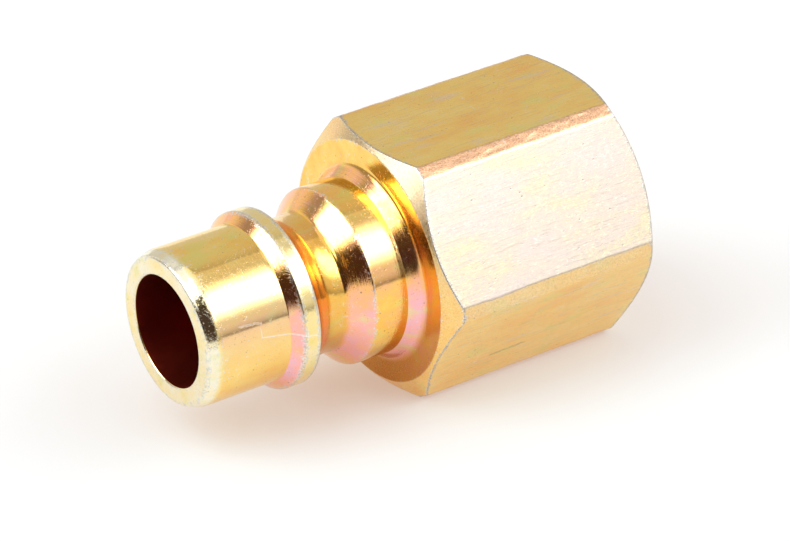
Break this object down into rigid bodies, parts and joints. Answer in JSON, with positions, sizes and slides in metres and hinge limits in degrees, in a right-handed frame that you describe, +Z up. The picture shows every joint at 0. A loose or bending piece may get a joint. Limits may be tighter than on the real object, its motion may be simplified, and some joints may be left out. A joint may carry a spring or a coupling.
{
  "type": "quick disconnect coupler plug",
  "caption": "Male plug half of a quick disconnect coupler: hex body with a threaded port, stepped neck with a lock ring and ball groove, and a spring-loaded shut-off poppet inside.",
  "frame": {"origin": "centre of the port face, on the plug's axis", "axes": "+X along the axis out of the threaded port, so the nose points to -X; +Z up, square to a hex flat, so a flat lies level below; +Y through a hex corner"},
  "size_m": [0.0513, 0.0304, 0.027],
  "materials": {
    "plated_steel": "turned steel with glossy iridescent yellow zinc plating, worn pale at the sharp edges",
    "valve_brass": "turned brass, satin",
    "seal_rubber": "black nitrile rubber, satin",
    "spring_steel": "drawn stainless spring wire",
    "clip_steel": "phosphated spring steel, dark grey"
  },
  "bodies": {
    "coupler_body": {"plug_body": "plated_steel", "valve_guide": "valve_brass", "retaining_ring": "clip_steel", "valve_spring": "spring_steel"},
    "valve": {"valve_poppet": "valve_brass", "poppet_seal": "seal_rubber"}
  },
  "joints": [
    {"name": "valve_slide", "type": "slide", "parent": "coupler_body", "child": "valve", "axis": [1, 0, 0], "range_m": [0, 0.0035], "stiffness_N_per_m": 1500, "springref_m": -0.004, "deforming": ["valve_spring"]}
  ]
}
